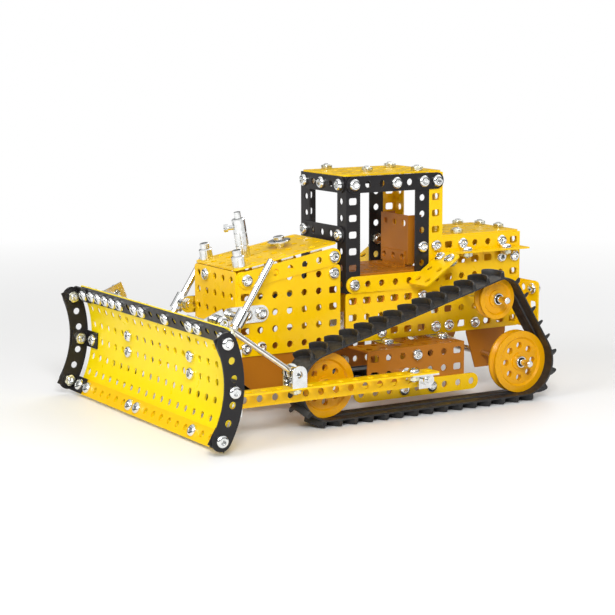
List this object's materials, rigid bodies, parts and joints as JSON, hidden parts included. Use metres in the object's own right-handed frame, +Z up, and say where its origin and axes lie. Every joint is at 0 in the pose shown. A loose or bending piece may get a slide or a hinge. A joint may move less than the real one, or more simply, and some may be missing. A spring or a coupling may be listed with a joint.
{
  "type": "toy bulldozer",
  "caption": "Toy bulldozer of perforated painted metal sheets, bolts and rods: curved front blade on push arms, hood, open cab, rear tank and rubber belts on spoked pulleys.",
  "frame": {"origin": "bottom centre of the bounding box: on the ground, on the mid-plane, half way along the length", "axes": "+X towards the vehicle's left side, -Y towards the blade at the front, +Z up"},
  "size_m": [0.2068, 0.268, 0.1436],
  "materials": {
    "yellow": "gloss golden yellow",
    "lemon": "gloss lemon yellow",
    "yellow_deep": "gloss warm yellow",
    "brown": "satin brown",
    "black": "satin black",
    "silver": "zinc plated",
    "wheel": "gloss orange yellow",
    "rubber": "matt black"
  },
  "bodies": {
    "chassis": {"hood_side_left": "yellow", "hood_side_right": "yellow", "hood_front_plate": "yellow", "hood_top_plate": "yellow", "body_front_sides": "yellow", "body_rear_side_left": "yellow", "body_rear_side_right": "yellow", "body_rear_plate": "yellow", "tank_sides": "yellow", "tank_top_plate": "yellow", "cab_roof": "yellow", "fenders": "yellow", "hood_rails": "yellow", "cab_corner_posts": "yellow", "cab_sills": "yellow", "rear_cross_plate": "yellow", "track_strips": "yellow", "track_frame_left": "brown", "track_frame_right": "brown", "axle_brackets": "brown", "cab_floor": "brown", "seat_back": "brown", "seat_foot": "brown", "cab_front_posts": "black", "cab_rear_posts": "black", "cab_side_strips": "black", "cab_front_strips": "black", "hood_top_brackets": "silver", "exhaust_stack": "silver", "hood_collars": "silver", "filler_cap": "silver", "frame_brackets": "silver", "pivot_shafts": "silver", "ram_strips": "silver", "frame_fasteners": "silver", "belt_left": "rubber", "belt_right": "rubber"},
    "push_frame": {"blade_plate_left": "lemon", "blade_plate_right": "lemon", "blade_bottom_strip": "yellow_deep", "push_arm_left": "yellow", "push_arm_right": "yellow", "blade_top_strip": "black", "blade_ends": "black", "blade_corner_brackets": "black", "blade_brackets": "silver", "arm_brackets": "silver", "brace_rods": "silver", "blade_fasteners": "silver"},
    "ram_sleeve_left_body": {"ram_sleeve_left": "silver"},
    "ram_rod_left_body": {"ram_rod_left": "silver"},
    "ram_sleeve_right_body": {"ram_sleeve_right": "silver"},
    "ram_rod_right_body": {"ram_rod_right": "silver"},
    "front_wheelset": {"front_axle": "silver", "front_wheels": "wheel"},
    "rear_wheelset": {"rear_axle": "silver", "rear_wheels": "wheel"},
    "upper_wheelset": {"upper_axle": "silver", "upper_wheels": "wheel"}
  },
  "joints": [
    {"name": "blade_lift", "type": "hinge", "parent": "chassis", "child": "push_frame", "pos_m": [0, 0.02456, 0.0228], "axis": [-1, 0, 0], "range_deg": [0, 8]},
    {"name": "ram_swing_left", "type": "hinge", "parent": "chassis", "child": "ram_sleeve_left_body", "pos_m": [0.038, -0.07944, 0.0625], "axis": [-1, 0, 0], "range_deg": [0, 16.5]},
    {"name": "ram_extend_left", "type": "slide", "parent": "ram_sleeve_left_body", "child": "ram_rod_left_body", "axis": [0, 0.5402, 0.8415], "range_m": [0, 0.0148]},
    {"name": "ram_swing_right", "type": "hinge", "parent": "chassis", "child": "ram_sleeve_right_body", "pos_m": [-0.038, -0.07944, 0.0625], "axis": [-1, 0, 0], "range_deg": [0, 16.5]},
    {"name": "ram_extend_right", "type": "slide", "parent": "ram_sleeve_right_body", "child": "ram_rod_right_body", "axis": [0, 0.5402, 0.8415], "range_m": [0, 0.0148]},
    {"name": "rear_wheels_spin", "type": "hinge", "parent": "chassis", "child": "rear_wheelset", "pos_m": [0, 0.10256, 0.0238], "axis": [1, 0, 0], "continuous": true},
    {"name": "front_wheels_spin", "type": "hinge", "parent": "chassis", "child": "front_wheelset", "pos_m": [0, -0.03744, 0.0238], "axis": [1, 0, 0], "continuous": true},
    {"name": "upper_wheels_spin", "type": "hinge", "parent": "chassis", "child": "upper_wheelset", "pos_m": [0, 0.08456, 0.0642], "axis": [1, 0, 0], "continuous": true}
  ],
  "couplings": [
    {"joint": "ram_swing_left", "follows": "blade_lift", "ratio": 2.04},
    {"joint": "ram_extend_left", "follows": "blade_lift", "m_per_rad": 0.1048},
    {"joint": "ram_swing_right", "follows": "blade_lift", "ratio": 2.04},
    {"joint": "ram_extend_right", "follows": "blade_lift", "m_per_rad": 0.1048},
    {"joint": "front_wheels_spin", "follows": "rear_wheels_spin", "ratio": 1},
    {"joint": "upper_wheels_spin", "follows": "rear_wheels_spin", "ratio": 1.5159}
  ]
}
